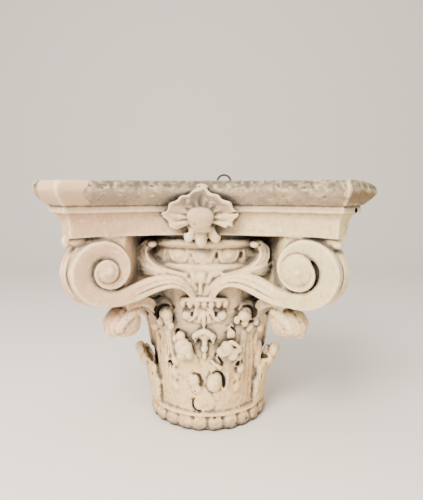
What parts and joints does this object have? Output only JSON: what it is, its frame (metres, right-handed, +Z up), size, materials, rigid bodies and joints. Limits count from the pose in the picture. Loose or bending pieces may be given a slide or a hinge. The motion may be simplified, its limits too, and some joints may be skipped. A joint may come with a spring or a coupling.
{
  "type": "corinthian capital",
  "caption": "Plaster half capital for a wall: flat-backed bell with beaded ring, rows of acanthus leaves, corner volutes, egg and dart band, and concave moulded abacus with a wire eye.",
  "frame": {"origin": "on the underside of the necking ring, on the axis of the column that the whole capital would crown", "axes": "+Z up; +Y towards the wall, square to the flat back, so the ornamented front faces -Y; +X to the right as seen from the front, along the long side of the abacus"},
  "size_m": [0.4514, 0.2377, 0.4027],
  "materials": {
    "plaster": "matte",
    "steel_wire": "satin"
  },
  "bodies": {
    "root": {"capital": "plaster", "hanging_loop": "steel_wire"}
  },
  "joints": []
}
